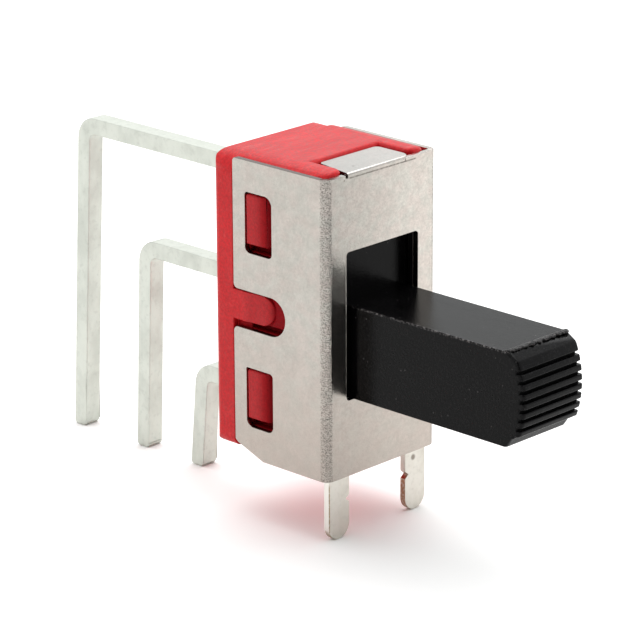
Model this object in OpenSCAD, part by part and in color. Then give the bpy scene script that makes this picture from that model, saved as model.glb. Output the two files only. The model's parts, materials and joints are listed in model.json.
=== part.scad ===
// Miniature right-angle slide switch, changeover contacts, millimetres.
// Inside place(): X runs across the front panel, Y runs back from its outer face,
// Z runs up from the bottom edge of the steel frame. The actuator is modelled at
// its lower stop, which is the rest pose.

/* [Frame] */
// Width of the frame across its side panels
frame_w = 6.5; // [5.6:0.05:8]
// Height of the frame over its top tab
frame_h = 12.7; // [12.2:0.05:15.3]
// Depth of the side panels
frame_d = 5.2; // [5:0.05:5.6]
// Thickness of the sheet
sheet_t = 0.25; // [0.18:0.01:0.3]
// Outer radius of the upright folds
fold_r = 0.4; // [0.35:0.01:0.6]
// Outer radius of the fold at the top tab
tab_fold_r = 0.12; // [0.05:0.01:0.2]
// How far the top tab stands above the panels
tab_rise = 0.06; // [0.02:0.01:0.1]
// Width of the top tab
tab_w = 3.4; // [2.6:0.05:3.6]
// Depth of the top tab behind the front face
tab_d = 1.92; // [1.2:0.02:2.4]
// Corner radius at the back of the top tab
tab_corner_r = 0.25; // [0.1:0.01:0.5]
// Corner radius beside the fold of the top tab
tab_root_r = 0.5; // [0.1:0.01:0.6]
// How much wider the top tab is at the other end of its fold
tab_flare = 0.3; // [0.05:0.01:0.35]
// Width of the nicks beside the tab
nick_w = 0.12; // [0.05:0.01:0.2]
// Depth of the nicks beside the tab
nick_d = 0.12; // [0.05:0.01:0.2]
// Width of the slot for the actuator
slot_w = 4.17; // [3.9:0.01:4.2]
// Height of the slot
slot_h = 6.2; // [5.6:0.05:6.6]
// Corner radius of the slot
slot_r = 0.15; // [0.05:0.01:0.3]
// Front edge of the side windows
window_y = 3.03; // [2.8:0.01:3.2]
// Depth of the side windows, front to back
window_d = 1.49; // [1.2:0.01:1.6]
// Height of the side windows
window_h = 2.53; // [2:0.01:2.7]
// Largest corner radius of the side windows
window_r = 0.38; // [0.1:0.01:0.4]
// Middle of a side window above or below the middle of the frame
window_off = 3.71; // [3.4:0.01:3.9]
// Height of the notch in the side panels
notch_h = 1.61; // [1.4:0.01:2]
// Front end of the notch
notch_y = 2.3; // [2.1:0.01:2.6]
// Radius of the two outer corners of the notch
notch_corner_r = 0.22; // [0.05:0.01:0.3]
// Depth of the slanted lower rear corner
slant_d = 1.58; // [0.5:0.01:2]
// Height of the slanted lower rear corner
slant_h = 0.66; // [0.3:0.01:1]
// Radius of the upper rear corner
rear_top_r = 0.17; // [0.1:0.01:0.5]

/* [Housing] */
// Bottom of the housing above the bottom of the frame
housing_z = 0.26; // [0.2:0.01:0.45]
// How far the housing stands above the top of the frame
housing_rise = 0.1; // [0.05:0.01:0.3]
// Depth of the rear flange
flange_d = 1.13; // [1:0.01:1.4]
// Radius of the flange's upright rear edges
flange_r = 0.38; // [0.1:0.01:0.5]
// Radius of the flange's other outer edges
flange_end_r = 0.45; // [0.1:0.01:0.5]
// Radius along the upper side edges, from the rear of the flange to the front
top_edge_r = 0.9; // [0.1:0.01:1]
// Radius along the upper right edge of the flange
flange_right_r = 1.2; // [0.9:0.01:1.3]
// Radius of the outer front corners of the top
lobe_r = 0.58; // [0.2:0.01:0.6]
// Radius of the inner front corners of the top
lobe_inner_r = 0.45; // [0.2:0.01:0.5]
// Radius along the lower side edges
low_edge_r = 0.25; // [0.05:0.01:0.3]
// Thickness of the top layer that reaches over the bracket
top_layer = 0.5; // [0.4:0.01:0.55]
// Gap between the housing and the sheet
housing_clear = 0.02; // [0.01:0.01:0.05]
// How far the snap bosses sit above the middle of their windows
snap_shift = 0.125; // [0.05:0.005:0.15]
// Depth of the pockets around the bosses and below the tongue
pocket_d = 0.36; // [0.1:0.01:0.4]
// Height of a snap boss
boss_h = 2.12; // [1.8:0.01:2.25]
// Height of the tongue in the notch
tongue_h = 1.26; // [1:0.01:1.34]
// Front end of the tongue
tongue_y = 3.05; // [3:0.01:3.4]
// Length of the slider chamber above and below the middle of the slot
chamber_half = 5.43; // [5.4:0.01:5.45]
// Width of the slider chamber
chamber_w = 4.9; // [4.7:0.05:5]
// Back of the slider chamber behind the front face
chamber_y = 1.7; // [1.65:0.01:1.8]
// Width of the contact chamber
contact_room_w = 3; // [2.4:0.05:3.4]
// Length of the contact chamber above and below the centre terminal
contact_room_half = 5.3; // [5.29:0.01:5.32]
// Inner face of the rear wall behind the front face
rear_wall_y = 4.62; // [4.6:0.01:4.8]

/* [Bracket] */
// Thickness of the bracket plate
bracket_t = 0.28; // [0.2:0.01:0.3]
// Gap between the bracket and its neighbours
bracket_clear = 0.02; // [0.01:0.01:0.03]
// Width of a bracket leg
leg_w = 1.2; // [0.8:0.01:1.4]
// Distance between the middles of the two legs
leg_pitch = 4.54; // [4.3:0.01:4.6]
// Top of the bracket plate
bracket_top = 12.2; // [11.8:0.05:12.25]
// Bottom edge of the plate between the legs
bracket_bottom = 0.12; // [0:0.01:0.5]
// How far the bracket window is inside the slot on each side
bracket_inset = 0; // [0:0.01:0.08]
// Depth of the catch notch in each leg
catch_d = 0.2; // [0.1:0.01:0.4]
// Half the height of the catch notch
catch_half = 0.17; // [0.1:0.01:0.3]
// Middle of the catch notch below the frame
catch_z = 1.08; // [0.9:0.01:1.4]

/* [Actuator] */
// Width of the bar
bar_w = 3.57; // [3:0.01:3.7]
// Height of the bar
bar_h = 3.9; // [3.4:0.01:4]
// Reach of the bar in front of the frame
bar_reach = 9.03; // [7:0.01:14]
// Radius of the arched end
arch_r = 3.96; // [3.5:0.01:6]
// Depth of the slope above the end
nose_top_d = 0.62; // [0.3:0.01:0.8]
// Height of the slope above the end
nose_top_h = 0.38; // [0.3:0.01:0.6]
// Depth of the slope below the end
nose_low_d = 0.25; // [0.1:0.01:0.4]
// Height of the slope below the end
nose_low_h = 0.41; // [0.2:0.01:0.45]
// Number of grip grooves
groove_n = 8; // [4:1:8]
// Spacing of the grip grooves
groove_pitch = 0.385; // [0.33:0.005:0.39]
// Width of a grip groove
groove_w = 0.14; // [0.08:0.01:0.18]
// Depth of a grip groove
groove_d = 0.24; // [0.1:0.01:0.35]
// Gap between the bar and each end of the slot
stop_clear = 0.03; // [0.02:0.01:0.06]
// Gap between the base and the bracket
base_clear = 0.05; // [0.03:0.01:0.08]
// Gap between the base and each side of its chamber
guide_clear = 0.05; // [0.03:0.01:0.08]
// Height of the base
base_h = 8.5; // [8.2:0.05:8.55]
// Thickness of the base
base_t = 1.02; // [0.9:0.01:1.05]
// Outer radius of the spring barrel
barrel_r = 1.15; // [0.95:0.01:1.25]
// Back end of the spring barrel behind the front face
barrel_y = 2.7; // [2.6:0.01:2.75]
// Radius of the plunger
plunger_r = 0.55; // [0.45:0.01:0.6]
// Radial gap between the plunger and its bore
plunger_clear = 0.05; // [0.02:0.01:0.08]
// Thickness of the base in front of the spring
bore_floor = 0.47; // [0.3:0.01:0.6]
// Working length of the spring
spring_len = 1.0; // [0.8:0.05:1.1]
// Wire radius of the spring
wire_r = 0.055; // [0.04:0.005:0.07]
// Number of turns of the spring
spring_turns = 4; // [3:0.5:5]

/* [Contacts] */
// Front of the fulcrum behind the front face
fulcrum_y = 3.45; // [3.4:0.01:3.5]
// Radius of the fulcrum
fulcrum_r = 0.15; // [0.1:0.01:0.2]
// Tilt of the rocker at rest in degrees
rocker_tilt = 4; // [2:0.5:5]
// Thickness of the rocker
rocker_t = 0.25; // [0.15:0.01:0.28]
// Width of the rocker
rocker_w = 1.5; // [1.2:0.05:1.8]
// Width of the rocker between the ears
waist_w = 1.2; // [0.9:0.05:1.2]
// Half the height of the rocker's waist
waist_half = 0.42; // [0.4:0.01:0.6]
// Distance from the fulcrum to a moving button
reach = 4.2; // [3.9:0.01:4.25]
// Height of a moving button
button_h = 0.15; // [0.08:0.01:0.2]
// Base radius of a moving button
button_r = 0.35; // [0.25:0.01:0.4]
// Tip radius of a moving button
button_tip_r = 0.15; // [0.05:0.01:0.2]
// Radius of a fixed contact
contact_r = 0.45; // [0.35:0.01:0.5]
// Thickness of a fixed contact
contact_t = 0.18; // [0.1:0.01:0.2]
// Gap left between touching pieces inside
touch_gap = 0.01; // [0.01:0.01:0.02]

/* [Terminals] */
// Spacing of the terminals
terminal_pitch = 4.75; // [4.7:0.01:4.8]
// Centre terminal above the middle of the frame
terminal_rise = 0.06; // [0:0.01:0.1]
// Width of a terminal, side to side
wire_w = 0.82; // [0.6:0.01:1]
// Thickness of a terminal through its bends
wire_t = 0.74; // [0.5:0.01:0.8]
// Inner radius of the bends
bend_r = 0.32; // [0.2:0.01:0.5]
// Upper terminal's leg behind the front face
upper_leg_y = 17.05; // [12:0.05:20]
// Centre terminal's leg behind the front face
centre_leg_y = 13.41; // [10.6:0.01:14]
// Lower terminal's leg behind the front face
lower_leg_y = 10.05; // [8.6:0.05:10.2]
// Outward lean of the upper leg in degrees
upper_lean = 3; // [0:0.1:4]
// Outward lean of the centre leg in degrees
centre_lean = 2.3; // [0:0.1:4]
// Outward lean of the lower leg in degrees
lower_lean = 4.9; // [0:0.1:5.5]
// Length of the legs and terminals below the frame
tail = 2.7; // [2:0.05:4]
// Corner radius at the terminal tips
tip_r = 0.2; // [0.05:0.01:0.3]
// Gap round a terminal in the rear wall
wall_clear = 0.02; // [0.01:0.01:0.04]
// Depth of the resin pockets
seal_d = 0.4; // [0.2:0.01:0.5]
// Width of the resin pockets
seal_w = 1.8; // [1.4:0.05:2.4]
// Height of the resin pockets
seal_h = 1.7; // [1.4:0.05:2.2]

/* [Hidden] */
$fn = 48;
e = 0.01;
far = 40;
mid_z = frame_h / 2;
panel_top = frame_h - tab_rise;
recess_w = tab_w + 0.4;
housing_top = frame_h + housing_rise;
body_w = frame_w - 2 * sheet_t - 2 * housing_clear;
flange_y = frame_d + housing_clear;
back_y = flange_y + flange_d;
rim_y = sheet_t + bracket_clear + bracket_t + bracket_clear;
rest_bar_z = mid_z - slot_h / 2 + stop_clear;
bar_mid_z = rest_bar_z + bar_h / 2;
travel = slot_h - bar_h - 2 * stop_clear;
base_y = sheet_t + bracket_clear + bracket_t + base_clear;
base_back = base_y + base_t;
bore_r = plunger_r + plunger_clear;
bore_y = base_y + bore_floor;
spring_r = plunger_r - 2 * wire_r;
fixed_head_t = 0.5;
head_w = 1.6;
head_out = 0.5;
head_back = rear_wall_y - wall_clear;
centre_z = mid_z + terminal_rise;
rocker_back = fulcrum_y - touch_gap;
rocker_front = rocker_back - rocker_t;
plunger_tip = rocker_front - 0.02;
contact_face = fulcrum_y + (reach + button_tip_r) * sin(rocker_tilt) + button_h * cos(rocker_tilt) + touch_gap;
tail_y = upper_leg_y + (centre_z + terminal_pitch + tail) * tan(upper_lean) + wire_t / 2 / cos(upper_lean);
origin_y = (tail_y - bar_reach) / 2;

// Moves the switch so that the origin is under the middle of its bounding box, at the tips.
module place() {
    translate([0, -origin_y, tail]) children();
}

// Extrudes an outline drawn in Y and Z between two X positions.
module across(x0, x1) {
    translate([x0, 0, 0]) rotate([90, 0, 90]) linear_extrude(height = x1 - x0) children();
}

// Extrudes an outline drawn in X and Z between two Y positions.
module deep(y0, y1) {
    translate([0, y1, 0]) rotate([90, 0, 0]) linear_extrude(height = y1 - y0) children();
}

// Rectangle from one corner to the other.
module rect(a, b) {
    translate(a) square([b[0] - a[0], b[1] - a[1]]);
}

// What a rounded corner at p takes off; s points from the corner into the shape.
module corner(p, s, r) {
    translate(p) scale_sign(s) difference() {
        translate([-e, -e]) square([r + e, r + e]);
        translate([r, r]) circle(r = r);
    }
}

// Turns a corner piece towards the quadrant that s names.
module scale_sign(s) {
    mirror([s[0] < 0 ? 1 : 0, 0]) mirror([0, s[1] < 0 ? 1 : 0]) children();
}

// Rectangle with its own radius at each corner: low left, low right, high right, high left.
module punched(a, b, r) {
    difference() {
        rect(a, b);
        if (r[0] > 0) corner([a[0], a[1]], [1, 1], r[0]);
        if (r[1] > 0) corner([b[0], a[1]], [-1, 1], r[1]);
        if (r[2] > 0) corner([b[0], b[1]], [-1, -1], r[2]);
        if (r[3] > 0) corner([a[0], b[1]], [1, -1], r[3]);
    }
}

// ---- Steel frame ----

// Outline of the folded sheet, seen from above.
module frame_outline() {
    r_in = fold_r - sheet_t;
    difference() {
        punched([-frame_w / 2, 0], [frame_w / 2, frame_d], [fold_r, fold_r, 0, 0]);
        difference() {
            rect([-frame_w / 2 + sheet_t, sheet_t], [frame_w / 2 - sheet_t, frame_d + 1]);
            corner([-frame_w / 2 + sheet_t, sheet_t], [1, 1], r_in);
            corner([frame_w / 2 - sheet_t, sheet_t], [-1, 1], r_in);
        }
    }
}

// Side window outline in Y and Z; r lists front low, rear low, rear high, front high.
module window_outline(z, r) {
    punched([window_y, z - window_h / 2], [window_y + window_d, z + window_h / 2], r);
}

// Notch in the rear edge of the side panels.
module notch_outline() {
    r = notch_h / 2;
    translate([notch_y + r, mid_z]) circle(r = r);
    rect([notch_y + r, mid_z - r], [frame_d + 1, mid_z + r]);
    corner([frame_d, mid_z + r], [-1, 1], notch_corner_r);
    corner([frame_d, mid_z - r], [-1, -1], notch_corner_r);
}

// What is cut away at the rear corners of the side panels.
module rear_corner_cuts() {
    polygon([
        [frame_d - slant_d, -1], [frame_d - slant_d, 0], [frame_d - 0.15, slant_h - 0.13],
        [frame_d, slant_h], [frame_d + 1, slant_h], [frame_d + 1, -1]
    ]);
    corner([frame_d, panel_top], [-1, -1], rear_top_r);
}

// Tab at the top of the front panel, seen from above.
module tab_plan() {
    w = tab_w / 2;
    punched([-w, 0], [w, tab_d], [0, tab_root_r, tab_corner_r, tab_corner_r]);
    polygon([[-w - tab_flare, 0], [0, 0], [-w, tab_d - tab_corner_r]]);
}

module tab() {
    intersection() {
        across(-frame_w, frame_w)
            punched([0, frame_h - sheet_t], [tab_d, frame_h], [0, 0, 0, tab_fold_r]);
        linear_extrude(height = far) tab_plan();
    }
}

module steel_frame() {
    place() color([0.78, 0.77, 0.75]) {
        difference() {
            linear_extrude(height = panel_top) frame_outline();
            deep(-1, 1) punched(
                [-slot_w / 2, mid_z - slot_h / 2], [slot_w / 2, mid_z + slot_h / 2],
                [slot_r, slot_r, slot_r, slot_r]);
            across(-far, far) window_outline(mid_z + window_off, [0.2, 0.28, 0.14, window_r]);
            across(-far, far) window_outline(mid_z - window_off, [0.28, window_r, 0.06, 0.16]);
            across(-far, far) notch_outline();
            across(-far, far) rear_corner_cuts();
            deep(-1, 1) {
                rect([-tab_w / 2 - tab_flare - nick_w, panel_top - nick_d], [-tab_w / 2 - tab_flare, far]);
                rect([tab_w / 2 - tab_root_r, panel_top - nick_d], [tab_w / 2 - tab_root_r + nick_w, far]);
            }
        }
        tab();
    }
}

// ---- Housing ----

// Flange with rounded outer edges.
module flange() {
    w = frame_w / 2;
    intersection() {
        linear_extrude(height = far)
            punched([-w, flange_y], [w, back_y], [0, 0, flange_r, flange_r]);
        across(-far, far) punched(
            [flange_y, housing_z], [back_y, housing_top], [0, flange_end_r, flange_end_r, 0]);
        deep(0, far) punched(
            [-w, housing_z], [w, housing_top],
            [flange_end_r, flange_end_r, flange_right_r, top_edge_r]);
    }
}

// Body between the side panels, with the top layer that reaches the front panel.
module housing_body() {
    w = body_w / 2;
    intersection() {
        union() {
            translate([-w, rim_y, housing_z])
                cube([body_w, flange_y - rim_y + e, housing_top - top_layer - housing_z]);
            translate([0, 0, housing_top - top_layer]) linear_extrude(height = top_layer)
                punched([-w, sheet_t + housing_clear], [w, flange_y + e], [lobe_r, lobe_r, 0, 0]);
        }
        deep(0, far)
            punched([-w, housing_z], [w, housing_top + 1], [low_edge_r, low_edge_r, 0, 0]);
        deep(0, far) punched(
            [-frame_w / 2, 0], [frame_w / 2, housing_top], [0, 0, top_edge_r, top_edge_r]);
    }
}

// Wedge in a side window, seen from above: a slope from x_slope up, then nearly flush.
module boss_plan(x_floor, x_slope, x_top) {
    polygon([
        [x_floor - 0.1, window_y + 0.03], [x_slope, window_y + 0.03],
        [x_top - 0.04, window_y + 0.03 + x_top - 0.04 - x_slope],
        [x_top, window_y + window_d - 0.02], [x_floor - 0.1, window_y + window_d - 0.02]
    ]);
}

module boss(z) {
    intersection() {
        linear_extrude(height = far)
            boss_plan(body_w / 2 - pocket_d, body_w / 2 - 0.26, frame_w / 2 - 0.03);
        across(0, far) punched(
            [window_y + 0.03, z - boss_h / 2], [window_y + window_d - 0.02, z + boss_h / 2],
            [window_r, 0, 0.12, window_r]);
    }
}

// Pocket behind a side window, which the boss stands in; z is the middle of the window.
module boss_pocket(z) {
    translate([body_w / 2 - pocket_d, window_y, z - window_h / 2])
        cube([1, window_d - 0.02, window_h]);
}

// Pocket below the tongue, as far down as the notch goes.
module tongue_pocket() {
    z = mid_z + snap_shift - tongue_h / 2;
    translate([body_w / 2 - pocket_d, notch_y + 0.3, mid_z - notch_h / 2])
        cube([1, window_y + window_d - notch_y - 0.4, z - mid_z + notch_h / 2]);
}

// Tongue of the flange in the notch: flush at the back, then a ramp that drops at its round end.
module tongue() {
    z = mid_z + snap_shift;
    r = tongue_h / 2;
    x = frame_w / 2;
    intersection() {
        across(0, far) {
            translate([tongue_y + r, z]) circle(r = r);
            rect([tongue_y + r, z - r], [flange_y + 0.05, z + r]);
        }
        linear_extrude(height = far) polygon([
            [body_w / 2 - 0.1, flange_y + 0.05], [x, flange_y + 0.05],
            [x, window_y + window_d], [x - 0.04, window_y + window_d - 0.05],
            [x - 0.09, tongue_y + 0.42], [x - 0.16, tongue_y + 0.15],
            [body_w / 2 - 0.02, tongue_y - 0.05], [body_w / 2 - 0.1, tongue_y - 0.05]
        ]);
    }
}

// Opening in the rear wall for one terminal, with its resin pocket.
module terminal_way(z) {
    translate([-wire_w / 2 - wall_clear, rear_wall_y - e, z - wire_t / 2 - wall_clear])
        cube([wire_w + 2 * wall_clear, far, wire_t + 2 * wall_clear]);
    translate([-seal_w / 2, back_y - seal_d, z - seal_h / 2]) cube([seal_w, far, seal_h]);
}

// Recess for the tab between the two front lobes, seen from above.
module tab_recess() {
    y = sheet_t + housing_clear;
    rect([-recess_w / 2, 0], [recess_w / 2, tab_d + 0.1]);
    for (s = [-1, 1]) corner([s * recess_w / 2, y], [s, 1], lobe_inner_r);
}

module housing() {
    place() color([0.78, 0.15, 0.17]) difference() {
        union() {
            flange();
            difference() {
                housing_body();
                for (s = [0, 1]) mirror([s, 0, 0]) {
                    boss_pocket(mid_z + window_off);
                    boss_pocket(mid_z - window_off);
                    tongue_pocket();
                }
            }
            for (s = [0, 1]) mirror([s, 0, 0]) {
                boss(mid_z + snap_shift + window_off);
                boss(mid_z + snap_shift - window_off);
                tongue();
            }
        }
        translate([-chamber_w / 2, rim_y - e, mid_z - chamber_half])
            cube([chamber_w, chamber_y - rim_y + e, 2 * chamber_half]);
        translate([-contact_room_w / 2, rim_y, centre_z - contact_room_half])
            cube([contact_room_w, rear_wall_y - rim_y, 2 * contact_room_half]);
        translate([0, 0, frame_h - sheet_t - 0.04]) linear_extrude(height = far) tab_recess();
        for (k = [-1, 0, 1]) terminal_way(centre_z + k * terminal_pitch);
    }
}

// ---- Support bracket ----

// One leg with its round tip and the catch notch on its inner edge; s is its side.
module leg_outline(s) {
    x = s * leg_pitch / 2;
    difference() {
        union() {
            translate([x, -tail + leg_w / 2]) circle(r = leg_w / 2);
            rect([x - leg_w / 2, -tail + leg_w / 2], [x + leg_w / 2, bracket_bottom + 1]);
        }
        translate([x - s * leg_w / 2, -catch_z])
            polygon([[-s * e, -catch_half], [s * catch_d, 0], [-s * e, catch_half]]);
    }
}

module support_bracket() {
    w = leg_pitch / 2 + leg_w / 2;
    y = sheet_t + bracket_clear;
    place() color([0.84, 0.83, 0.79]) deep(y, y + bracket_t) difference() {
        union() {
            rect([-w, bracket_bottom], [w, bracket_top]);
            for (s = [-1, 1]) leg_outline(s);
        }
        rect(
            [-slot_w / 2 + bracket_inset, mid_z - slot_h / 2],
            [slot_w / 2 - bracket_inset, mid_z + slot_h / 2]);
    }
}

// ---- Actuator ----

// How far the arched end stands out at height z.
function arch_y(z) = -bar_reach + arch_r - sqrt(arch_r * arch_r - pow(z - bar_mid_z, 2));

function groove_z(i) = bar_mid_z + (i - (groove_n - 1) / 2) * groove_pitch - 0.13;

// Bar with its sloped, arched and grooved end, in Y and Z.
module bar_profile() {
    z0 = rest_bar_z;
    z1 = rest_bar_z + bar_h;
    tip_top = -bar_reach + 0.86;
    tip_low = -bar_reach + 0.9;
    difference() {
        union() {
            rect([-bar_reach + arch_r / 2, z0], [base_y + e, z1]);
            intersection() {
                rect([-bar_reach - 1, z0], [-bar_reach + arch_r / 2 + e, z1]);
                translate([-bar_reach + arch_r, bar_mid_z]) circle(r = arch_r, $fn = 96);
            }
        }
        polygon([
            [tip_top + 0.1, z1 + 0.1 * nose_top_h / nose_top_d], [tip_top - nose_top_d, z1 - nose_top_h],
            [tip_top - nose_top_d - 1, z1 - nose_top_h], [tip_top - nose_top_d - 1, z1 + 1],
            [tip_top + 0.1, z1 + 1]
        ]);
        polygon([
            [tip_low, z0 - e], [tip_low - nose_low_d, z0 + nose_low_h],
            [-bar_reach - 1, z0 + nose_low_h], [-bar_reach - 1, z0 - 1], [tip_low, z0 - 1]
        ]);
        for (i = [0 : groove_n - 1])
            rect(
                [-bar_reach - 1, groove_z(i) - groove_w / 2],
                [arch_y(groove_z(i)) + groove_d, groove_z(i) + groove_w / 2]);
    }
}

module actuator() {
    w = chamber_w / 2 - guide_clear;
    place() color([0.12, 0.12, 0.13]) difference() {
        union() {
            across(-bar_w / 2, bar_w / 2) bar_profile();
            translate([-w, base_y, bar_mid_z - base_h / 2]) cube([2 * w, base_t, base_h]);
            translate([0, base_back - e, bar_mid_z]) rotate([-90, 0, 0])
                cylinder(r = barrel_r, h = barrel_y - base_back + e);
        }
        translate([0, bore_y, bar_mid_z]) rotate([-90, 0, 0]) cylinder(r = bore_r, h = far);
    }
}

// Dome-ended plunger with a flat seat for the spring.
module plunger() {
    y = bore_y + spring_len;
    place() color([0.75, 0.75, 0.74]) translate([0, y, bar_mid_z]) rotate([-90, 0, 0]) {
        cylinder(r = plunger_r, h = plunger_tip - plunger_r - y);
        intersection() {
            translate([0, 0, plunger_tip - plunger_r - y]) sphere(r = plunger_r);
            translate([0, 0, plunger_tip - plunger_r - y - e]) cylinder(r = 2, h = 2);
        }
    }
}

// Corner k of ring i of the coil; every ring has 8 corners.
function coil_point(i, k, rings) =
    let (a = 360 * spring_turns * i / rings, b = 45 * k, m = spring_r - wire_r)
    [
        (m + wire_r * cos(b)) * cos(a), (m + wire_r * cos(b)) * sin(a),
        wire_r + (spring_len - 2 * wire_r) * i / rings + wire_r * sin(b)
    ];

module coil() {
    rings = 16 * spring_turns;
    points = [for (i = [0 : rings]) for (k = [0 : 7]) coil_point(i, k, rings)];
    sides = [
        for (i = [0 : rings - 1]) for (k = [0 : 7]) for (half = [0, 1])
            let (a = 8 * i + k, b = 8 * i + (k + 1) % 8)
            half == 0 ? [a, a + 8, b] : [b, a + 8, b + 8]
    ];
    ends = [[for (k = [0 : 7]) k], [for (k = [0 : 7]) 8 * rings + 7 - k]];
    polyhedron(points = points, faces = concat(sides, ends));
}

module plunger_spring() {
    place() color([0.6, 0.6, 0.6]) translate([0, bore_y, bar_mid_z]) rotate([-90, 0, 0]) coil();
}

// ---- Contacts ----

// Puts pieces of the seesaw at its rest tilt; inside, Y and Z start at the fulcrum.
module tilted() {
    translate([0, fulcrum_y, centre_z]) rotate([rocker_tilt, 0, 0]) children();
}

module rocker() {
    half = reach + 0.45;
    place() color([0.85, 0.72, 0.45]) tilted() deep(-touch_gap - rocker_t, -touch_gap) difference() {
        punched([-rocker_w / 2, -half], [rocker_w / 2, half], [0.3, 0.3, 0.3, 0.3]);
        for (s = [-1, 1])
            rect(
                [s * (waist_w / 2 + 0.5) - 0.5, -waist_half],
                [s * (waist_w / 2 + 0.5) + 0.5, waist_half]);
    }
}

module moving_button(side) {
    place() color([0.9, 0.9, 0.92]) tilted() translate([0, -touch_gap, side * reach]) rotate([-90, 0, 0])
        cylinder(r1 = button_r, r2 = button_tip_r, h = button_h);
}

module rocker_upper_button() {
    moving_button(1);
}

module rocker_lower_button() {
    moving_button(-1);
}

module fixed_contact(side) {
    place() color([0.9, 0.9, 0.92]) translate([0, contact_face, centre_z + side * reach])
        rotate([-90, 0, 0]) cylinder(r = contact_r, h = contact_t);
}

module upper_contact() {
    fixed_contact(1);
}

module lower_contact() {
    fixed_contact(-1);
}

// ---- Terminals ----

// Wire outline in Y and Z from the head to the tip: arm, bend, leaning leg.
module wire_outline(z, leg_y, lean) {
    r = bend_r + wire_t / 2;
    turn = 90 - lean;
    back = r * tan(turn / 2);
    leg = (z + tail) / cos(lean) - back;
    rect([head_back - e, z - wire_t / 2], [leg_y - back + e, z + wire_t / 2]);
    translate([leg_y - back, z - r]) difference() {
        circle(r = r + wire_t / 2);
        circle(r = r - wire_t / 2);
        rect([-9, -9], [0, 9]);
        rotate(lean) rect([-9, -9], [9, 0]);
    }
    intersection() {
        translate([leg_y - back, z - r]) rotate(-turn) translate([0, r]) rect(
            [-e, -wire_t / 2], [leg + 1, wire_t / 2]);
        tip_zone(leg_y + (z + tail) * tan(lean));
    }
}

// Everything above the tips' level, with rounded corners at the wire's own tip.
module tip_zone(y) {
    w = wire_t / 2;
    difference() {
        rect([y - 6, -tail], [y + 6, far]);
        corner([y - w, -tail], [1, 1], tip_r);
        corner([y + w, -tail], [-1, 1], tip_r);
        rect([y - w - 1, -tail - 1], [y - w, -tail + 0.001]);
        rect([y + w, -tail - 1], [y + w + 1, -tail + 0.001]);
    }
}

module wire(z, leg_y, lean) {
    across(-wire_w / 2, wire_w / 2) wire_outline(z, leg_y, lean);
}

// Head inside the chamber that carries a fixed contact, reaching towards the middle.
module contact_head(z, side) {
    front = contact_face + contact_t;
    low = side > 0 ? centre_z + reach - contact_r - 0.1 : z - head_out;
    high = side > 0 ? z + head_out : centre_z - reach + contact_r + 0.1;
    translate([-head_w / 2, front, low]) cube([head_w, head_back - front, high - low]);
}

module upper_terminal() {
    z = centre_z + terminal_pitch;
    place() color([0.84, 0.84, 0.8]) {
        wire(z, upper_leg_y, upper_lean);
        contact_head(z, 1);
    }
}

module lower_terminal() {
    z = centre_z - terminal_pitch;
    place() color([0.84, 0.84, 0.8]) {
        wire(z, lower_leg_y, lower_lean);
        contact_head(z, -1);
    }
}

// Centre terminal: the fulcrum under the rocker, and an ear on each side of its waist.
module centre_terminal() {
    ear_in = waist_w / 2 + 0.06;
    ear_t = 0.24;
    ear_z = waist_half - 0.12;
    seat = head_back - fixed_head_t;
    place() color([0.84, 0.84, 0.8]) {
        wire(centre_z, centre_leg_y, centre_lean);
        translate([-ear_in - ear_t, seat, centre_z - head_out])
            cube([2 * (ear_in + ear_t), fixed_head_t, 2 * head_out]);
        translate([-wire_w / 2, fulcrum_y + fulcrum_r, centre_z - fulcrum_r])
            cube([wire_w, seat - fulcrum_y - fulcrum_r + e, 2 * fulcrum_r]);
        translate([0, fulcrum_y + fulcrum_r, centre_z]) rotate([0, 90, 0])
            cylinder(r = fulcrum_r, h = wire_w, center = true);
        for (s = [0, 1]) mirror([s, 0, 0])
            translate([ear_in, rocker_front - 0.2, centre_z - ear_z])
                cube([ear_t, seat - rocker_front + 0.2 + e, 2 * ear_z]);
    }
}

// Resin block in a pocket, round its terminal.
module seal(z) {
    place() color([0.55, 0.12, 0.12]) translate([0, back_y - seal_d, z]) rotate([-90, 0, 0])
        linear_extrude(height = seal_d - 0.06) difference() {
            square([seal_w, seal_h], center = true);
            square([wire_w + 2 * wall_clear, wire_t + 2 * wall_clear], center = true);
        }
}

module upper_seal() {
    seal(centre_z + terminal_pitch);
}

module centre_seal() {
    seal(centre_z);
}

module lower_seal() {
    seal(centre_z - terminal_pitch);
}

steel_frame();
housing();
support_bracket();
actuator();
plunger();
plunger_spring();
rocker();
rocker_upper_button();
rocker_lower_button();
upper_contact();
lower_contact();
upper_terminal();
centre_terminal();
lower_terminal();
upper_seal();
centre_seal();
lower_seal();
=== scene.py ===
"""Looks for the miniature slide switch: refined meshes, procedural materials, studio and camera."""

import json
import math
import random

import bmesh
import bpy
from mathutils import Matrix, Vector
from mathutils.bvhtree import BVHTree


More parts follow.
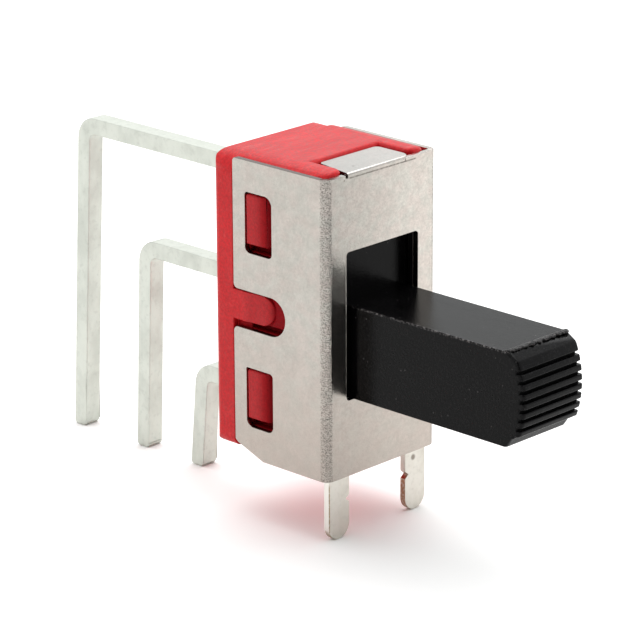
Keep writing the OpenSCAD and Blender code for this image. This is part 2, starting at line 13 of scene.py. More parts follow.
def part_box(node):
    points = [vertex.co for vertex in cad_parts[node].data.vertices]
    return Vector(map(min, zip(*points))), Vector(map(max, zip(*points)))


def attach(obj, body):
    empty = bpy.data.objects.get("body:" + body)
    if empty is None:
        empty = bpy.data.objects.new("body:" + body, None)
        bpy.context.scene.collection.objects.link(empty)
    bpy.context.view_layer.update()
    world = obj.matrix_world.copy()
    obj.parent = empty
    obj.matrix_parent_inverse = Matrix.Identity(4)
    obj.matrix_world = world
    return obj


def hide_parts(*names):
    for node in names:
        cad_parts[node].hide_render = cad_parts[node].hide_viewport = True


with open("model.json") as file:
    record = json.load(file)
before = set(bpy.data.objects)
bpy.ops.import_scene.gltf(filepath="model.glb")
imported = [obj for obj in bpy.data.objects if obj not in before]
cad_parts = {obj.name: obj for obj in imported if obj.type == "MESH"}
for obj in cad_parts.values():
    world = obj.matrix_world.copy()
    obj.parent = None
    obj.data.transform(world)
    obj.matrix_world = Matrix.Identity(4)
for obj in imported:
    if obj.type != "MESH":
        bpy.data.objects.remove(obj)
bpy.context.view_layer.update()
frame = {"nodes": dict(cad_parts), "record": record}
MM = 0.001


nodes = frame["nodes"]
body_of = {n: b for b, names in frame["record"]["behaviour"]["bodies"].items() for n in names}
slot_of = {s["node"]: s["material_slot"] for s in frame["record"]["subparts"]}

# The front face of the steel frame and its bottom edge, which the places below are counted from.
frame_low, frame_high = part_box("steel_frame")
FRONT_Y = frame_low.y
BASE_Z = frame_low.z


def behind(y):
    """The depth coordinate y millimetres behind the front face."""
    return FRONT_Y + y * MM


def above(z):
    """The height coordinate z millimetres above the frame's bottom edge."""
    return BASE_Z + z * MM


def at(x, y, z):
    """A point in millimetres across, behind the front face and above the frame's bottom edge."""
    return Vector((x * MM, behind(y), above(z)))


# The slot in the frame, from the points on its upright edges.
slot_points = [v.co for v in nodes["steel_frame"].data.vertices
               if abs(v.co.x) < 2.5 * MM and v.co.y < behind(0.01)
               and v.co.z < frame_high.z - 1.5 * MM]
SLOT_SIDE = max(p.x for p in slot_points)
SLOT_MIDDLE = (max(p.z for p in slot_points) + min(p.z for p in slot_points)) / 2
LEG_SIDE = max(v.co.x for v in nodes["support_bracket"].data.vertices)

# The bar in front of the frame, from the actuator's own points.
bar_points = [v.co for v in nodes["actuator"].data.vertices if v.co.y < behind(-1)]
BAR_TOP = max(p.z for p in bar_points)
BAR_SIDE = max(p.x for p in bar_points)
BAR_LOW = min(p.z for p in bar_points)
BAR_NOSE = min(p.y for p in bar_points if p.z > BAR_TOP - 0.001 * MM)
BAR_TIP = min(p.y for p in bar_points)


# ---------------------------------------------------------------- node helpers


class Nodes:
    """Short calls for building one material's node tree."""

    def __init__(self, name):
        self.mat = bpy.data.materials.new(name)
        self.mat.use_nodes = True
        self.tree = self.mat.node_tree
        self.tree.nodes.clear()
        self.out = self.add("ShaderNodeOutputMaterial")
        self.bsdf = self.add("ShaderNodeBsdfPrincipled")
        self.link(self.bsdf.outputs["BSDF"], self.out.inputs["Surface"])
        self.place = self.add("ShaderNodeTexCoord").outputs["Object"]

    def add(self, kind, **values):
        node = self.tree.nodes.new(kind)
        for key, value in values.items():
            setattr(node, key, value)
        return node

    def link(self, a, b):
        self.tree.links.new(a, b)

    def scaled(self, scale, turn=(0, 0, 0)):
        """Object coordinates times scale, in 1/mm, which is one number or one for each axis."""
        m = self.add("ShaderNodeMapping", vector_type="POINT")
        scales = scale if isinstance(scale, tuple) else (scale, scale, scale)
        m.inputs["Scale"].default_value = [s / MM for s in scales]
        m.inputs["Rotation"].default_value = turn
        self.link(self.place, m.inputs["Vector"])
        return m.outputs["Vector"]

    def noise(self, scale, detail, rough=0.55, turn=(0, 0, 0)):
        """Noise with scale cells to the mm."""
        n = self.add("ShaderNodeTexNoise")
        n.inputs["Scale"].default_value = 1.0
        n.inputs["Detail"].default_value = detail
        n.inputs["Roughness"].default_value = rough
        self.link(self.scaled(scale, turn), n.inputs["Vector"])
        return n.outputs["Fac"]

    def voronoi(self, scale):
        """Distance to the nearest of scattered points, scale of them to the mm."""
        n = self.add("ShaderNodeTexVoronoi", feature="F1")
        n.inputs["Scale"].default_value = 1.0
        self.link(self.scaled(scale), n.inputs["Vector"])
        return n.outputs["Distance"]

    def axis(self, which):
        """One object coordinate, in metres."""
        s = self.add("ShaderNodeSeparateXYZ")
        self.link(self.place, s.inputs[0])
        return s.outputs[which]

    def facing(self, which):
        """One component of the surface normal."""
        g = self.add("ShaderNodeNewGeometry")
        s = self.add("ShaderNodeSeparateXYZ")
        self.link(g.outputs["Normal"], s.inputs[0])
        return s.outputs[which]

    def math(self, op, a, b=0.0):
        """One sum; a and b are numbers or sockets."""
        m = self.add("ShaderNodeMath", operation=op)
        for socket, value in ((m.inputs[0], a), (m.inputs[1], b)):
            if isinstance(value, (int, float)):
                socket.default_value = value
            else:
                self.link(value, socket)
        return m.outputs[0]

    def ramp(self, value, low, high, to_low=0.0, to_high=1.0):
        """value from low..high to to_low..to_high, smooth and clamped."""
        r = self.add("ShaderNodeMapRange", interpolation_type="SMOOTHSTEP")
        r.inputs["From Min"].default_value = low
        r.inputs["From Max"].default_value = high
        r.inputs["To Min"].default_value = to_low
        r.inputs["To Max"].default_value = to_high
        self.link(value, r.inputs["Value"])
        return r.outputs["Result"]

    def mix(self, fac, a, b, blend="MIX"):
        """a blended with b by fac; each is a number, a colour or a socket."""
        m = self.add("ShaderNodeMix", data_type="RGBA", blend_type=blend)
        for socket, value in ((m.inputs[0], fac), (m.inputs[6], a), (m.inputs[7], b)):
            if isinstance(value, (int, float)):
                socket.default_value = value
            elif isinstance(value, (tuple, list)):
                socket.default_value = (*value, 1.0)
            else:
                self.link(value, socket)
        return m.outputs[2]

    def shade(self, base, value, low, high, dark, light):
        """base times a grey that goes from dark to light as value goes from low to high."""
        return self.mix(1.0, base, self.ramp(value, low, high, dark, light), "MULTIPLY")

    def absolute(self, value):
        return self.math("ABSOLUTE", value)

    def lay(self, base, mask, amount, colour):
        """base with colour laid over it, by amount where mask is 1."""
        return self.mix(self.math("MULTIPLY", mask, amount), base, colour)

    def both(self, *masks):
        """Product of masks."""
        result = masks[0]
        for mask in masks[1:]:
            result = self.math("MULTIPLY", result, mask)
        return result

    def line(self, value, middle, half):
        """1 where value, in metres, is within half mm of middle, fading towards the rim."""
        away = self.absolute(self.math("SUBTRACT", value, middle))
        return self.ramp(away, half * MM, 0.4 * half * MM)

    def spot(self, centre, radius):
        """1 inside a ball of radius mm round a place, fading towards its rim."""
        v = self.add("ShaderNodeVectorMath", operation="DISTANCE")
        self.link(self.place, v.inputs[0])
        v.inputs[1].default_value = centre
        return self.ramp(v.outputs["Value"], radius * MM, 0.4 * radius * MM)

    def bump(self, heights):
        """Chains bumps: (height, depth in mm) from the coarsest to the finest."""
        normal = None
        for height, depth in heights:
            b = self.add("ShaderNodeBump")
            b.inputs["Strength"].default_value = 1.0
            b.inputs["Distance"].default_value = depth * MM
            self.link(height, b.inputs["Height"])
            if normal is not None:
                self.link(normal, b.inputs["Normal"])
            normal = b.outputs["Normal"]
        self.link(normal, self.bsdf.inputs["Normal"])

    def set(self, **values):
        """Sets or links the surface's inputs, named with _ for spaces."""
        for key, value in values.items():
            socket = self.bsdf.inputs[key.replace("_", " ")]
            if isinstance(value, (int, float)):
                socket.default_value = value
            elif isinstance(value, (tuple, list)):
                socket.default_value = (*value, 1.0)
            else:
                self.link(value, socket)


# ---------------------------------------------------------------- materials

# Colours are linear. The frame's faces come first, then what is laid over them.
STEEL_SHADED_LEFT = (0.455, 0.429, 0.396)
STEEL_LIT_RIGHT = (0.690, 0.647, 0.596)
STEEL_SIDE = (0.530, 0.499, 0.461)
STEEL_DEEP = (0.390, 0.355, 0.315)
STEEL_FLOOR_REFLECTION = (0.468, 0.393, 0.345)
STEEL_TAB_LIGHT = (0.72, 0.70, 0.68)
STEEL_PIT_AND_CREASE_SHADE = (0.16, 0.145, 0.13)
STEEL_SLOT_HIGHLIGHT = (0.78, 0.75, 0.70)
STEEL_SPOT = (0.07, 0.045, 0.03)
STEEL_CUT_EDGE_AND_SHADE = (0.11, 0.075, 0.065)
STEEL_SLOT_WALL_SHADE = (0.045, 0.040, 0.036)
GREEN_TINT = (0.978, 0.992, 0.985)
PINK_TINT = (1.015, 0.975, 0.972)
# Single pits on the tab and below its fold, with their radii in mm.
STEEL_SPOTS = ((at(-1.08, 0.60, 12.7), 0.055), (at(-1.02, 0.56, 12.7), 0.03),
               (at(-2.22, 0.0, 12.45), 0.04), (at(-2.05, 0.0, 12.50), 0.03))


def steel_material():
    """Sheet steel: mottled, pebbled along the upright folds, dark on its sheared faces partly from
    painted shade, with painted light to the right, painted shade under the fold of the tab, a painted
    highlight by the slot and a painted floor reflection low down.
    """
    n = Nodes("frame_steel")
    across, depth, height = n.axis(0), n.axis(1), n.axis(2)
    side = n.absolute(across)
    blotch = n.noise(0.8, 4.0)
    tint = n.noise((1.3, 1.3, 1.8), 3.0, 0.6, (0.3, 0.2, 0.6))
    patch = n.noise(2.6, 3.0, 0.6)
    mottle = n.noise(8, 3.0, 0.6)
    grain = n.noise(13, 3.0, 0.65)
    pebble = n.noise(18, 2.0, 0.5)
    sideways = n.ramp(n.absolute(n.facing(0)), 0.35, 0.75)
    frontal = n.ramp(n.facing(1), -0.6, -0.9)
    upward = n.ramp(n.facing(2), 0.5, 0.9)
    # Painted light: the frame is lighter towards the right and darker towards the left
    base = n.mix(n.ramp(across, -3.2 * MM, 3.2 * MM), STEEL_SHADED_LEFT, STEEL_LIT_RIGHT)
    base = n.mix(sideways, base, STEEL_SIDE)
    base = n.mix(1.0, base, n.mix(n.ramp(tint, 0.38, 0.62), GREEN_TINT, PINK_TINT), "MULTIPLY")
    base = n.mix(n.ramp(blotch, 0.35, 0.65, 0.12, 0.0), base, STEEL_DEEP)
    base = n.shade(base, patch, 0.3, 0.7, 0.93, 1.04)
    pebbly = n.shade(n.shade(base, mottle, 0.3, 0.7, 0.92, 1.05), grain, 0.3, 0.7, 0.90, 1.04)
    base = n.lay(pebbly, sideways, 0.35, base)
    # Painted light: the upward face of the tab is lighter
    base = n.mix(n.both(upward, n.ramp(side, 2.4 * MM, 2.2 * MM, 0.0, 0.45)), base, STEEL_TAB_LIGHT)
    # Sheared upper edge of the left panel: a matt cut edge, darkened further with painted shade under
    # the housing's top
    cut_edge_and_shade = n.both(upward, n.ramp(across, -2.6 * MM, -2.8 * MM, 0.0, 0.9))
    base = n.mix(cut_edge_and_shade, base, STEEL_CUT_EDGE_AND_SHADE)
    # Painted reflection of the floor's reddish shade: warmer and duller towards the bottom edge
    base = n.mix(n.ramp(height, above(7), above(0), 0.0, 0.50), base, STEEL_FLOOR_REFLECTION)
    # Pebbled band left by the die along the upright folds, with stray pits beside it
    near_front = n.ramp(depth, behind(0.42), behind(0.30))
    band = n.both(n.ramp(side, 2.88 * MM, 2.97 * MM), near_front)
    beside = n.both(n.ramp(side, 2.45 * MM, 2.85 * MM), near_front)
    pits = n.both(n.ramp(pebble, 0.47, 0.60), band)
    stray = n.both(n.ramp(pebble, 0.64, 0.70), beside)
    base = n.lay(base, n.math("MAXIMUM", pits, stray), 0.60, STEEL_PIT_AND_CREASE_SHADE)
    # Painted shade in the crease under the fold of the tab, broken here and there
    crease_shade = n.both(n.line(height, frame_high.z - 0.20 * MM, 0.045),
                    n.ramp(side, 1.98 * MM, 1.90 * MM), frontal)
    base = n.mix(n.both(crease_shade, n.ramp(grain, 0.42, 0.52, 0.35, 0.85)), base, STEEL_PIT_AND_CREASE_SHADE)
    # Painted shade on the sheared faces in the slot, and a painted highlight along its left edge
    sheared = n.both(sideways, n.ramp(side, SLOT_SIDE + 0.02 * MM, SLOT_SIDE + 0.01 * MM))
    base = n.lay(base, sheared, 0.92, STEEL_SLOT_WALL_SHADE)
    slot_highlight = n.both(n.line(across, -SLOT_SIDE - 0.035 * MM, 0.035), frontal,
                  n.line(height, SLOT_MIDDLE, 3.5), n.ramp(grain, 0.35, 0.50, 0.4, 1.0))
    base = n.lay(base, slot_highlight, 0.8, STEEL_SLOT_HIGHLIGHT)
    for place, radius in STEEL_SPOTS:
        base = n.lay(base, n.spot(place, radius), 0.9, STEEL_SPOT)
    rough = n.math("ADD", n.ramp(blotch, 0.3, 0.7, 0.15, 0.21), n.math("MULTIPLY", mottle, 0.05))
    rough = n.math("ADD", rough, n.math("MULTIPLY", slot_highlight, 0.45))
    n.set(Base_Color=base, Metallic=1.0, Roughness=rough)
    n.bump([(blotch, 0.010), (n.both(pebble, band), 0.036), (mottle, 0.0030), (grain, 0.0016)])
    return n.mat


RED_DEEP = (0.645, 0.0078, 0.0130)
RED_FULL = (0.705, 0.0108, 0.0165)
RED_FLOW = (0.70, 0.048, 0.050)
RED_STREAK = (0.80, 0.10, 0.10)
RED_RECESS_SHADE = (0.46, 0.0085, 0.0130)
RED_SHADED = (0.30, 0.0025, 0.0065)
RED_SUNK_SHADE = (0.26, 0.0040, 0.0085)
RED_GAP_SHADE = (0.15, 0.0020, 0.0040)


def housing_material():
    """Red moulded plastic with pale flow marks, with painted shade on the bosses and in the gaps of
    its recesses.
    """
    n = Nodes("housing_red")
    side = n.absolute(n.axis(0))
    depth, height = n.axis(1), n.axis(2)
    cloud = n.noise(0.55, 3.0)
    fine = n.noise(9, 4.0, 0.7)
    flow = n.noise((0.45, 1.9, 1.9), 4.0, 0.6, (0, 0, 0.5))
    streak = n.noise((1.1, 4.5, 4.5), 4.0, 0.65, (0, 0, 0.35))
    base = n.mix(n.ramp(cloud, 0.35, 0.65), RED_DEEP, RED_FULL)
    # Flow marks and grain, strongest on the top
    upward = n.ramp(n.facing(2), 0.6, 0.95, 0.35, 1.0)
    base = n.mix(n.both(n.ramp(flow, 0.46, 0.68, 0.0, 0.55), upward), base, RED_FLOW)
    base = n.mix(n.both(n.ramp(streak, 0.54, 0.72, 0.0, 0.55), upward), base, RED_STREAK)
    grain = n.mix(upward, n.ramp(fine, 0.3, 0.7, 0.86, 1.08), n.ramp(fine, 0.3, 0.7, 0.66, 1.12))
    base = n.mix(1.0, base, grain, "MULTIPLY")
    # Recesses behind the windows and the notch: painted shade on the bosses, darker painted shade in
    # the gaps round them
    recess = n.both(n.ramp(depth, behind(2.1), behind(2.2)),
                    n.ramp(depth, behind(5.21), behind(5.18)),
                    n.ramp(height, above(1.2), above(1.3)),
                    n.ramp(height, above(11.45), above(11.40)))
    sunk = n.both(recess, n.ramp(side, 3.13 * MM, 3.00 * MM))
    deep = n.both(recess, n.ramp(side, 2.97 * MM, 2.84 * MM))
    recess_front_shade = n.both(recess, n.ramp(depth, behind(4.80), behind(4.30)))
    from_middle = n.absolute(n.math("SUBTRACT", height, SLOT_MIDDLE))
    boss_front = n.both(recess, n.ramp(depth, behind(4.15), behind(3.40)),
                        n.ramp(from_middle, 1.4 * MM, 1.5 * MM))
    tongue_end = n.both(recess, n.ramp(depth, behind(3.35), behind(2.85)),
                        n.ramp(from_middle, 1.5 * MM, 1.4 * MM))
    shaded = n.math("MAXIMUM", boss_front, tongue_end)
    # Painted shade, darkest in the gaps: on the fronts of the bosses and tongues, their sloped ends,
    # the sunk faces and the gaps below the panels
    base = n.lay(base, recess_front_shade, 0.75, RED_RECESS_SHADE)
    base = n.lay(base, shaded, 0.75, RED_SHADED)
    base = n.lay(base, sunk, 0.70, RED_SUNK_SHADE)
    base = n.lay(base, deep, 0.72, RED_GAP_SHADE)
    base = n.lay(base, recess_front_shade, 0.5, n.shade(base, fine, 0.3, 0.7, 0.72, 1.25))
    hidden = n.math("MAXIMUM", n.math("MULTIPLY", shaded, 0.8), sunk)
    n.set(Base_Color=base, Roughness=n.ramp(fine, 0.3, 0.7, 0.30, 0.44),
          Specular_IOR_Level=n.math("SUBTRACT", 0.27, n.math("MULTIPLY", hidden, 0.22)))
    n.bump([(flow, 0.012), (streak, 0.006), (fine, 0.012)])
    return n.mat


BLACK_DEEP = (0.0012, 0.0011, 0.0013)
BLACK_FULL = (0.0022, 0.0020, 0.0023)
BLACK_GRAIN = (0.0100, 0.0094, 0.0100)
BLACK_SCUFF = (0.012, 0.011, 0.011)
BLACK_SPECK = (0.075, 0.070, 0.070)
BLACK_WEAR_AND_HIGHLIGHT = (0.15, 0.14, 0.14)
FLASH_BLACK = (0.0045, 0.0042, 0.0045)
FLASH_GREY = (0.11, 0.10, 0.10)


def actuator_material():
    """Satin black moulded plastic with scuffs, pale specks and upper edges lightened by wear and a
    painted highlight.
    """
    n = Nodes("actuator_black")
    depth = n.axis(1)
    cloud = n.noise(0.7, 3.0)
    fine = n.noise(10, 4.0, 0.7)
    scuff = n.noise((3.5, 0.8, 3.5), 4.0, 0.65, (0, 0, 0.6))
    speck = n.voronoi(2.3)
    base = n.mix(n.ramp(cloud, 0.35, 0.65), BLACK_DEEP, BLACK_FULL)
    in_front = n.ramp(depth, behind(0.30), behind(-0.90))
    base = n.mix(n.both(n.ramp(fine, 0.48, 0.70), in_front), base, BLACK_GRAIN)
    base = n.mix(n.ramp(scuff, 0.66, 0.80, 0.0, 0.6), base, BLACK_SCUFF)
    base = n.mix(n.ramp(speck, 0.085, 0.05, 0.0, 0.8), base, BLACK_SPECK)
    # Worn corner along the upper edges of the bar, in front of the frame, lightened as wear and as a
    # painted highlight on the rounded edge
    near_top = n.line(n.axis(2), BAR_TOP, 0.10)
    near_edge = n.line(n.absolute(n.axis(0)), BAR_SIDE, 0.09)
    wear_and_highlight = n.both(near_top, near_edge, in_front, n.ramp(fine, 0.47, 0.62))
    base = n.mix(wear_and_highlight, base, BLACK_WEAR_AND_HIGHLIGHT)
    n.set(Base_Color=base, Roughness=n.ramp(scuff, 0.35, 0.7, 0.14, 0.23),
          Specular_IOR_Level=n.ramp(depth, behind(0.6), behind(-0.9), 0.09, 0.115))
    n.bump([(scuff, 0.003), (fine, 0.0065)])
    return n.mat


def flash_material():
    """Torn moulding flash: matt black with grey where it is stretched thin."""
    n = Nodes("flash_black")
    fine = n.noise(11, 4.0, 0.7)
    base = n.mix(n.ramp(fine, 0.48, 0.66), FLASH_BLACK, FLASH_GREY)
    n.set(Base_Color=base, Roughness=n.ramp(fine, 0.3, 0.7, 0.30, 0.50), Specular_IOR_Level=0.2)
    n.bump([(fine, 0.015)])
    return n.mat


def tin_material(name, light, dark, rough_low, rough_high, marks=None):
    """Tin plate; marks(n, base, fine) adds what one piece alone has."""
    n = Nodes(name)
    cloud = n.noise((1.0, 1.0, 0.6), 4.0)
    mottle = n.noise(4, 3.0, 0.6)
    fine = n.noise(10, 4.0, 0.7)
    base = n.mix(n.ramp(cloud, 0.38, 0.64), light, dark)
    base = n.mix(n.ramp(mottle, 0.5, 0.75, 0.0, 0.5), base, tuple(c * 0.86 for c in dark))
    if marks:
        base = marks(n, base, fine)
    uneven = n.ramp(cloud, 0.3, 0.7, rough_low, rough_high)
    rough = n.math("ADD", uneven, n.math("MULTIPLY", mottle, 0.08))
    n.set(Base_Color=base, Metallic=1.0, Roughness=rough)
    n.bump([(cloud, 0.015), (mottle, 0.005), (fine, 0.0025)])
    return n.mat


LEG_PLATE_AND_HIGHLIGHT = (0.98, 0.95, 0.90)
LEG_STAIN = (0.36, 0.25, 0.13)
LEG_COPPER = (0.40, 0.23, 0.14)
OPENING_SHADE = (0.030, 0.026, 0.024)
DIMPLE_DARK = (0.16, 0.12, 0.09)
DIMPLE = at(2.15, 0.27, -0.39)
DIMPLE_R = 0.17


def bracket_marks(n, base, fine):
    """Bare brown metal where the legs were sheared, painted shade on the faces in the opening, painted
    light on the left leg's outer edge, a dimple.
    """
    across, height = n.axis(0), n.axis(2)
    facing_depth = n.absolute(n.facing(1))
    patchy = n.ramp(fine, 0.35, 0.55, 0.35, 1.0)
    sheared = n.ramp(facing_depth, 0.90, 0.45)
    # Inner sheared edge of the right leg, and both legs' tips
    low = n.ramp(height, above(-0.9), above(-1.2))
    on_right = n.ramp(across, -0.1 * MM, 0.1 * MM)
    inner = n.both(sheared, low, on_right)
    tip = n.ramp(height, above(-2.2), above(-2.55))
    # Outer edge of the left leg: bright plating lifted further with painted light, with a stained
    # corner beside it
    corner = n.both(n.ramp(across, -LEG_SIDE + 0.075 * MM, -LEG_SIDE + 0.03 * MM),
                    n.ramp(facing_depth, 0.25, 0.60), n.ramp(height, above(0), above(-0.5)))
    outer = n.both(n.ramp(across, -LEG_SIDE + 0.03 * MM, -LEG_SIDE + 0.01 * MM),
                   n.ramp(height, above(0), above(-0.1)))
    base = n.lay(base, outer, 0.8, LEG_PLATE_AND_HIGHLIGHT)
    stain = n.math("MAXIMUM", n.both(sheared, tip), corner)
    base = n.mix(n.both(stain, patchy), base, LEG_STAIN)
    base = n.mix(n.both(inner, patchy), base, LEG_COPPER)
    # Painted shade on the faces of the bracket's opening, inside the slot
    opening = n.both(n.ramp(n.absolute(n.facing(0)), 0.35, 0.7),
                     n.ramp(n.absolute(across), SLOT_SIDE + 0.03 * MM, SLOT_SIDE + 0.01 * MM),
                     n.ramp(height, above(1), above(1.5)))
    base = n.lay(base, opening, 0.95, OPENING_SHADE)
    return n.lay(base, n.spot(DIMPLE, DIMPLE_R), 0.75, DIMPLE_DARK)


def plain_metal(name, colour, rough):
    """Bare metal of one colour, faintly grained."""
    n = Nodes(name)
    fine = n.noise(9, 4.0, 0.6)
    dark = tuple(c * 0.8 for c in colour)
    n.set(Base_Color=n.mix(n.ramp(fine, 0.35, 0.65), dark, colour), Metallic=1.0,
          Roughness=n.ramp(fine, 0.3, 0.7, rough - 0.05, rough + 0.08))
    n.bump([(fine, 0.003)])
    return n.mat


RESIN_DEEP = (0.16, 0.012, 0.012)
RESIN_LIGHT = (0.24, 0.02, 0.02)


def resin_material():
    """Cast resin, glossy and slightly uneven."""
    n = Nodes("seal_resin")
    cloud = n.noise(1.4, 3.0)
    n.set(Base_Color=n.mix(n.ramp(cloud, 0.35, 0.65), RESIN_DEEP, RESIN_LIGHT),
          Roughness=n.ramp(cloud, 0.3, 0.7, 0.12, 0.22), IOR=1.5)
    n.bump([(cloud, 0.04)])
    return n.mat


BRACKET_LIGHT = (0.80, 0.765, 0.70)
BRACKET_DARK = (0.72, 0.68, 0.61)
TERMINAL_LIGHT = (0.665, 0.685, 0.625)
TERMINAL_DARK = (0.60, 0.62, 0.565)

materials = {
    "frame_steel": steel_material(),
    "housing_red": housing_material(),
    "actuator_black": actuator_material(),
    "bracket_tin": tin_material("bracket_tin", BRACKET_LIGHT, BRACKET_DARK, 0.28, 0.38, bracket_marks),
    "terminal_tin": tin_material("terminal_tin", TERMINAL_LIGHT, TERMINAL_DARK, 0.32, 0.42),
    "plunger_steel": plain_metal("plunger_steel", (0.60, 0.60, 0.59), 0.22),
    "spring_steel": plain_metal("spring_steel", (0.42, 0.42, 0.42), 0.28),
    "rocker_bronze": plain_metal("rocker_bronze", (0.72, 0.50, 0.25), 0.30),
    "contact_silver": plain_metal("contact_silver", (0.80, 0.79, 0.76), 0.30),
    "seal_resin": resin_material(),
}

# ---------------------------------------------------------------- refined pieces

# Points nearer than WELD, in metres, are one point. Angles are in degrees: faces that turn less
# than FLAT_TURN are one flat, edges that turn more than SHARP_TURN are rounded, and those that
# still turn more than CREASE_TURN stay crisp in the shading.
WELD = 2e-7
FLAT_TURN = 0.4
SHARP_TURN = 32.0
CREASE_TURN = 28
SEGMENTS = 3
WIDE_SEGMENTS = 5
# A rounded point farther from the old surface than this share of the width is a stray.
STRAY_SHARE = 0.6


def round_edges(bm, edges, width, segments):
    """Rounds edges by width, in mm, and pulls any stray point back to the surface it came from."""
    before = bm.copy()
    bmesh.ops.triangulate(before, faces=before.faces)
    surface = BVHTree.FromBMesh(before)
    before.free()
    bmesh.ops.bevel(bm, geom=edges, offset=width * MM, offset_type="OFFSET", segments=segments,
                    profile=0.5, affect="EDGES", clamp_overlap=False)
    for vert in bm.verts:
        near, _, _, distance = surface.find_nearest(vert.co)
        if distance > STRAY_SHARE * width * MM:
            vert.co = near


def turn(edge):
    """The angle between an edge's two faces, in degrees; 0 where they are in line."""
    return math.degrees(edge.calc_face_angle(0.0)) if len(edge.link_faces) == 2 else 0.0


def sharp(edge):
    """An outer corner; inner corners stay as they are."""
    return edge.is_convex and turn(edge) > SHARP_TURN


def refined(node, width, wide=(), shape=None, late=None):
    """A copy of a CAD node with clean flats and rounded outer edges, standing for that node.

    Widths are in mm. shape(bm) may first move or add points, late(bm) does so after the rounding.
    wide lists (test, width) pairs: edges that pass a test are rounded before the rest, by their
    own width.
    """
    bm = bmesh.new()
    bm.from_mesh(nodes[node].data)
    bmesh.ops.remove_doubles(bm, verts=bm.verts, dist=WELD)
    bmesh.ops.dissolve_limit(bm, angle_limit=math.radians(FLAT_TURN), verts=bm.verts, edges=bm.edges)
    if shape:
        shape(bm)
    for test, wide_width in wide:
        bm.normal_update()
        round_edges(bm, [e for e in bm.edges if sharp(e) and test(e)], wide_width, WIDE_SEGMENTS)
    bm.normal_update()
    round_edges(bm, [e for e in bm.edges if sharp(e)], width, SEGMENTS)
    bm.normal_update()
    if late:
        late(bm)
        bm.normal_update()
    for face in bm.faces:
        face.smooth = True
    for edge in bm.edges:
        edge.smooth = turn(edge) < CREASE_TURN
    mesh = bpy.data.meshes.new(node + "_skin")
    bm.to_mesh(mesh)
    bm.free()
    piece = bpy.data.objects.new(node + "_skin", mesh)
    bpy.context.scene.collection.objects.link(piece)
    weight = piece.modifiers.new("weighted", "WEIGHTED_NORMAL")
    weight.keep_sharp = True
    mesh.materials.append(materials[slot_of[node]])
    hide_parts(node)
    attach(piece, body_of[node])


# The bar's end: radius of its arched ribs, depth of the grooves between them, rounding towards the
# two sides, and the chamfers above and below the ribs. The rounding has NOSE_CUTS steps of
# NOSE_CUT_TURN degrees on each side.
ARCH_R = 3.96 * MM
GROOVE_D = 0.24 * MM
NOSE_ROUND = 0.16 * MM
NOSE_CHAMFER = 0.40 * MM
NOSE_CUTS = 6
NOSE_CUT_TURN = 16
ON_PLANE = 1e-8


def round_nose(bm):
    """Rounds the bar's grooved end towards its two sides; the floors of the grooves stay."""
    end = BAR_NOSE + 0.1 * MM
    middle_z = (BAR_TOP + BAR_LOW) / 2
    for s in (-1, 1):
        for step in range(NOSE_CUTS):
            place = BAR_SIDE - NOSE_ROUND * (1 - math.sin(math.radians(NOSE_CUT_TURN * step)))
            faces = [f for f in bm.faces
                     if abs(f.normal.x) < 0.9 and all(v.co.y < end for v in f.verts)]
            rims = dict.fromkeys([e for f in faces for e in f.edges])
            points = dict.fromkeys([v for f in faces for v in f.verts])
            bmesh.ops.bisect_plane(bm, geom=[*rims, *points, *faces], dist=ON_PLANE,
                                   plane_co=(s * place, 0, 0), plane_no=(s, 0, 0))
    for vert in bm.verts:
        out = (abs(vert.co.x) - (BAR_SIDE - NOSE_ROUND)) / NOSE_ROUND
        if out <= 0 or vert.co.y > end:
            continue
        arch = BAR_TIP + ARCH_R - math.sqrt(ARCH_R ** 2 - (vert.co.z - middle_z) ** 2)
        sloped = vert.co.z > BAR_TOP - NOSE_CHAMFER or vert.co.z < BAR_LOW + NOSE_CHAMFER
        share = 1.0 if sloped else min(1.0, max(0.0, (arch + GROOVE_D - vert.co.y) / GROOVE_D))
        vert.co.y += share * NOSE_ROUND * (1 - math.sqrt(max(0.0, 1 - min(out, 1.0) ** 2)))


# Where each tongue's step lies, across and behind the front face, and how far it moves.
TONGUE_SIDE = 3.21 * MM
TONGUE_STEP = 4.47 * MM
TONGUE_SLOPE = 0.27 * MM
TONGUE_DROP = 0.0135 * MM
NEAR = 0.004 * MM


def soften_tongues(bm):
    """Draws out the short step where each tongue leaves the flange into a gentle slope."""
    for vert in bm.verts:
        at_side = abs(abs(vert.co.x) - TONGUE_SIDE) < NEAR
        at_step = abs(vert.co.y - FRONT_Y - TONGUE_STEP) < NEAR
        if at_side and at_step:
            vert.co.y -= TONGUE_SLOPE
            vert.co.x -= math.copysign(TONGUE_DROP, vert.co.x)


def rib_edge(edge):
    """On the ribs at the bar's end."""
    return all(v.co.y < BAR_NOSE + 0.02 * MM for v in edge.verts)


HOUSING_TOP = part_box("housing")[1].z
TOP_RIM_DROP = 0.62 * MM


def top_rim(edge):
    """Rim of the housing's top around the tab recess and over the two front lobes."""
    tops = [f.normal.z > 0.08 for f in edge.link_faces]
    walls = [abs(f.normal.z) < 0.02 and f.normal.y < 0.999 for f in edge.link_faces]
    high = all(v.co.z > HOUSING_TOP - TOP_RIM_DROP and v.co.y < behind(4) for v in edge.verts)
    return any(tops) and any(walls) and high


# Across, the wall behind the panels lies between the first two; the bosses stand past the third.
WALL_INNER, WALL_OUTER, BOSS_INNER = 2.96 * MM, 3.0 * MM, 3.05 * MM
TONGUE_HALF = 1.2 * MM


def snap_place(edge):
    """On a snap boss or a tongue, away from the flange and from the wall behind the panels."""
    proud = all(abs(v.co.x) > 2.6 * MM and behind(2.5) < v.co.y < behind(4.51) for v in edge.verts)
    return proud and not all(WALL_INNER < abs(v.co.x) < WALL_OUTER for v in edge.verts)


